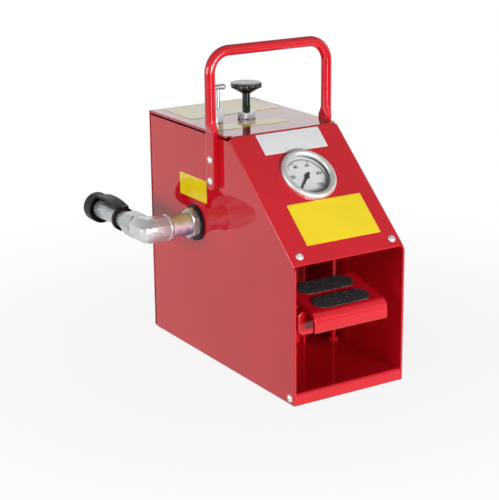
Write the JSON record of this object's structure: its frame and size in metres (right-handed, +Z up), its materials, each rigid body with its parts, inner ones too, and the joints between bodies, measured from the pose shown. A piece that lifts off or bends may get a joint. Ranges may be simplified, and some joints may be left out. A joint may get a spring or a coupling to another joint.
{
  "type": "foot pedal air valve",
  "caption": "Foot pedal air valve in a folded red sheet housing with a pressure gauge, carrying handle, regulator knob, bleed valve and a capped side outlet.",
  "frame": {"origin": "on the ground, in the middle of the housing's footprint", "axes": "+X to the right of someone facing the pedal, +Y to the rear, +Z up"},
  "size_m": [0.2445, 0.3536, 0.3805],
  "materials": {
    "red_enamel": "high gloss red enamel",
    "zinc_plate": "bright zinc plate",
    "yellow_plate": "iridescent yellow zinc plate",
    "stainless": "polished stainless",
    "bright_steel": "ground steel",
    "spring_steel": "drawn wire",
    "machined_alloy": "machined",
    "brass": "turned",
    "black_rubber": "moulded",
    "grit": "grit-coated anti-slip pad",
    "black_plastic": "glossy moulded",
    "black_case": "black enamel",
    "clear_lens": "clear",
    "white_dial": "white printed dial",
    "black_pointer": "matt black",
    "yellow_film": "bare yellow plate",
    "white_film": "bare white plate"
  },
  "bodies": {
    "housing": {"housing_shell": "red_enamel", "floor_pan": "red_enamel", "rear_panel": "red_enamel", "front_brace": "red_enamel", "valve_bracket": "red_enamel", "carry_handle": "red_enamel", "handle_screws": "stainless", "handle_nuts": "zinc_plate", "housing_screws": "stainless", "inner_screws": "zinc_plate", "pivot_stand": "red_enamel", "pivot_pin": "bright_steel", "pivot_clip": "bright_steel", "pedal_stop": "black_rubber", "stay_rod": "red_enamel", "stay_nuts": "red_enamel", "stay_bracket": "red_enamel", "valve_block": "machined_alloy", "spool_gland": "brass", "return_spring": "spring_steel", "inlet_port": "zinc_plate", "inlet_nut": "zinc_plate", "inlet_pipe": "zinc_plate", "exhaust_silencer": "brass", "regulator_bonnet": "machined_alloy", "regulator_locknut": "zinc_plate", "regulator_spring": "spring_steel", "spring_seat": "zinc_plate", "needle_body": "zinc_plate", "needle_nut": "zinc_plate", "needle_tube": "brass", "gauge_case": "black_case", "gauge_bezel": "stainless", "gauge_lens": "clear_lens", "gauge_dial": "white_dial", "gauge_movement": "brass", "gauge_line": "brass", "outlet_grommet": "black_rubber", "outlet_pipe": "yellow_plate", "outlet_nut": "zinc_plate", "outlet_elbow": "zinc_plate", "coupling_nipple": "zinc_plate", "check_spring": "spring_steel", "cap_strap": "black_rubber"},
    "pedal": {"pedal_plate": "red_enamel", "grip_pads": "grit", "pedal_saddle": "red_enamel", "pedal_arm": "red_enamel", "pivot_bushes": "brass", "roller_pin": "bright_steel"},
    "roller": {"cam_roller": "bright_steel"},
    "spool": {"valve_spool": "bright_steel", "spool_seals": "black_rubber"},
    "regulator": {"regulator_knob": "black_plastic", "regulator_stem": "black_plastic"},
    "needle": {"needle_bar": "zinc_plate"},
    "pointer": {"gauge_pointer": "black_pointer"},
    "poppet": {"check_poppet": "brass"},
    "cap": {"dust_cap": "black_rubber"}
  },
  "joints": [
    {"name": "pedal_hinge", "type": "hinge", "parent": "housing", "child": "pedal", "pos_m": [-0.046, -0.002, 0.088], "axis": [1, 0, 0], "range_deg": [0, 9], "stiffness_Nm_per_rad": 20, "springref_deg": -17.19},
    {"name": "roller_spin", "type": "hinge", "parent": "pedal", "child": "roller", "pos_m": [-0.046, 0.051, 0.094], "axis": [1, 0, 0], "continuous": true},
    {"name": "spool_slide", "type": "slide", "parent": "housing", "child": "spool", "axis": [0, 0, 1], "range_m": [0, 0.0084], "deforming": ["return_spring"]},
    {"name": "regulator_turn", "type": "hinge", "parent": "housing", "child": "regulator", "pos_m": [0, 0.054, 0.3], "axis": [0, 0, 1], "range_deg": [-540, 540]},
    {"name": "needle_turn", "type": "hinge", "parent": "housing", "child": "needle", "pos_m": [-0.042, 0.05, 0.3], "axis": [0, 0, 1], "range_deg": [0, 810]},
    {"name": "pointer_turn", "type": "hinge", "parent": "housing", "child": "pointer", "pos_m": [0, -0.07822, 0.23733], "axis": [0, 0.6637, -0.748], "range_deg": [0, 270], "stiffness_Nm_per_rad": 0.001, "springref_deg": -11.46},
    {"name": "poppet_slide", "type": "slide", "parent": "housing", "child": "poppet", "axis": [0, -1, 0], "range_m": [0, 0.006], "stiffness_N_per_m": 2000, "springref_m": -0.002, "deforming": ["check_spring"]},
    {"name": "cap_pull", "type": "slide", "parent": "housing", "child": "cap", "axis": [0, 1, 0], "range_m": [0, 0.032], "deforming": ["cap_strap"]}
  ],
  "couplings": [
    {"joint": "spool_slide", "follows": "pedal_hinge", "m_per_rad": 0.053}
  ]
}
